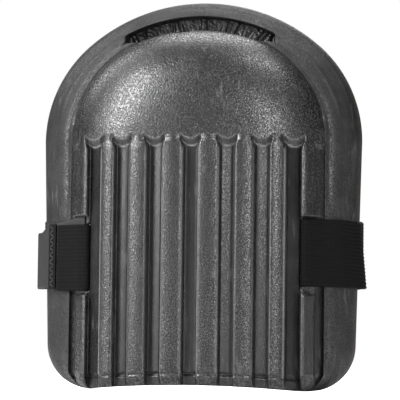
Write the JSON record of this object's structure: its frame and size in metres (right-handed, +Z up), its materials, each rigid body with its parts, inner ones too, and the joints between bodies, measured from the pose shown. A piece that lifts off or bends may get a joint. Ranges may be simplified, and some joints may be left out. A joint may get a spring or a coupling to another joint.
{
  "type": "strap-on knee pad",
  "caption": "Ribbed foam knee pad with a domed shell, a soft inner cushion and an elastic strap with a touch fastener.",
  "frame": {"origin": "under the middle of the whole object, pad and strap loop together, at the level of the pad's bottom edge", "axes": "+Z up the leg towards the rounded top, the domed front faces -Y, the leg and the strap loop are on +Y, +X to the right as seen from the front"},
  "size_m": [0.1868, 0.138, 0.222],
  "materials": {
    "shell_foam": "closed-cell moulded foam, satin skin with a fine pebble grain",
    "cushion_foam": "soft matt foam",
    "elastic": "ribbed elastic webbing",
    "tape": "smooth woven nylon tape",
    "hook": "rows of small nylon hooks",
    "pile": "brushed nylon loops",
    "thread": "twisted polyester thread"
  },
  "bodies": {
    "pad": {"foam_shell": "shell_foam", "knee_cushion": "cushion_foam", "left_elastic": "elastic", "left_tape": "tape", "left_front_stitches": "thread", "left_back_stitches": "thread", "right_elastic_loop": "elastic"},
    "tab": {"hook_tab": "tape", "hook_patch": "hook", "hook_patch_stitches": "thread"},
    "strap": {"long_elastic": "elastic", "loop_patch": "pile", "right_box_stitches": "thread", "loop_patch_stitches": "thread", "strap_end_stitches": "thread"}
  },
  "joints": [
    {"name": "strap_swing", "type": "hinge", "parent": "pad", "child": "strap", "pos_m": [0.09178, -0.01983, 0.078], "axis": [0, 0, -1], "range_deg": [0, 100]},
    {"name": "tab_swing", "type": "hinge", "parent": "pad", "child": "tab", "pos_m": [-0.08808, -0.02008, 0.078], "axis": [0, 0, -1], "range_deg": [0, 35]}
  ]
}
